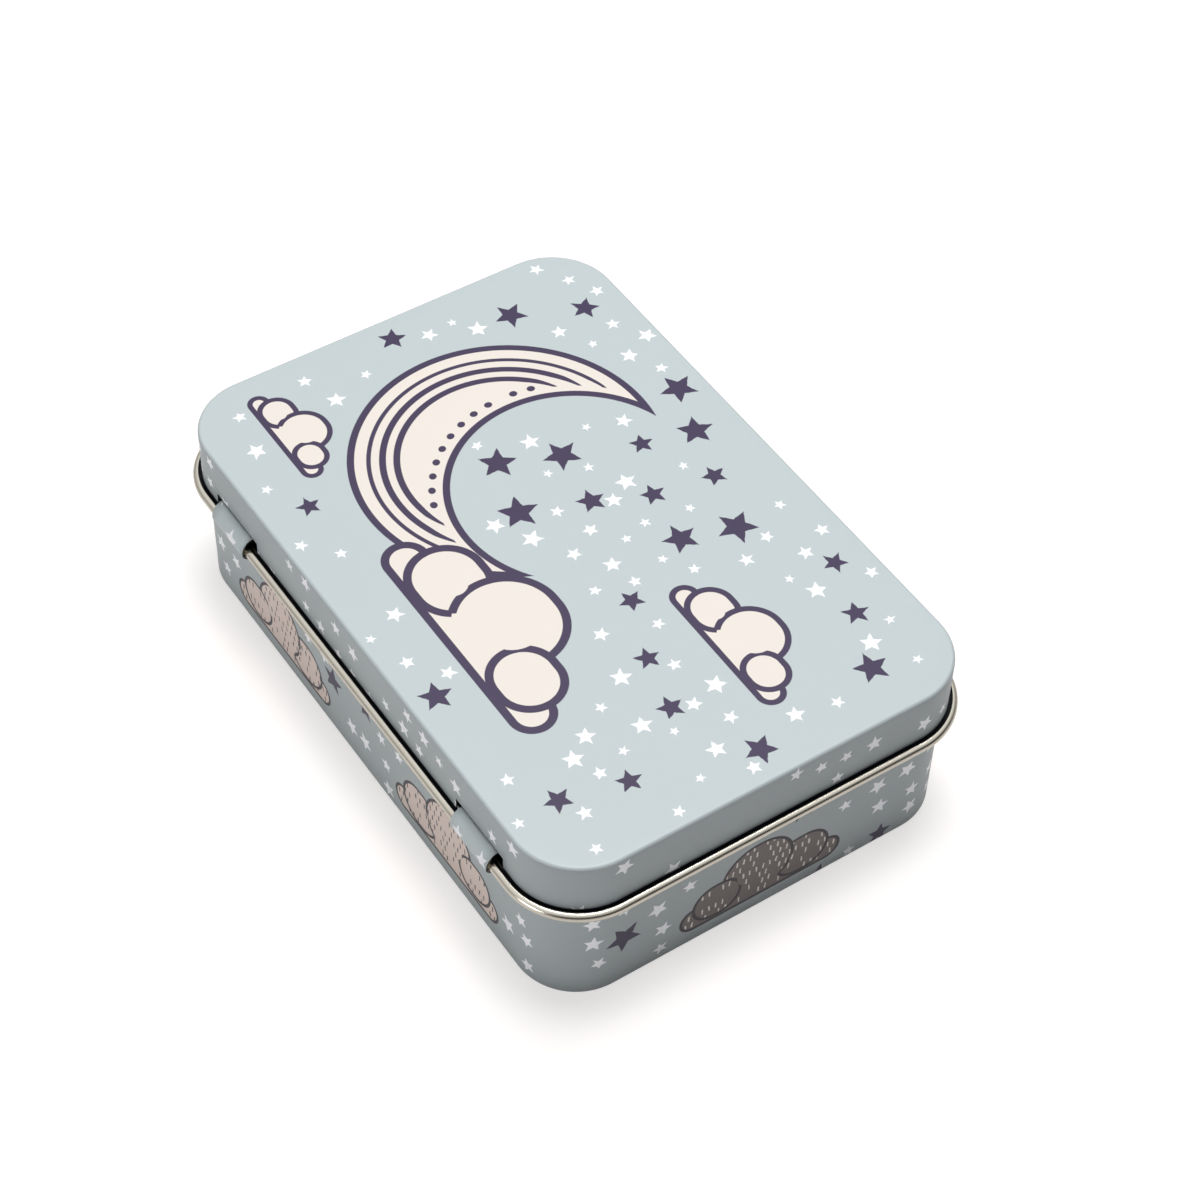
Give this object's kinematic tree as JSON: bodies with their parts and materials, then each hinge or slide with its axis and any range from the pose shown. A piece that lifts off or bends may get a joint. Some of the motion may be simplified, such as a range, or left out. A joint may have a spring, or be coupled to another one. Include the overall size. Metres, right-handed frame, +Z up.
{
  "type": "trinket tin",
  "caption": "Rectangular tinplate box with rounded corners and a hinged lid; the lid's rolled curl turns inside hooked tabs of the base.",
  "frame": {"origin": "middle of the footprint, on the surface that the tin stands on", "axes": "+X along the length and the hinge, +Y towards the hinge at the back, +Z up through the lid"},
  "size_m": [0.118, 0.0815, 0.0331],
  "materials": {
    "printed_base": "satin print on tinplate",
    "printed_lid": "satin print on tinplate"
  },
  "bodies": {
    "base": {"base": "printed_base"},
    "lid": {"lid": "printed_lid"}
  },
  "joints": [
    {"name": "lid_hinge", "type": "hinge", "parent": "base", "child": "lid", "pos_m": [0, 0.03963, 0.0225], "axis": [-1, 0, 0], "range_deg": [0, 120]}
  ]
}
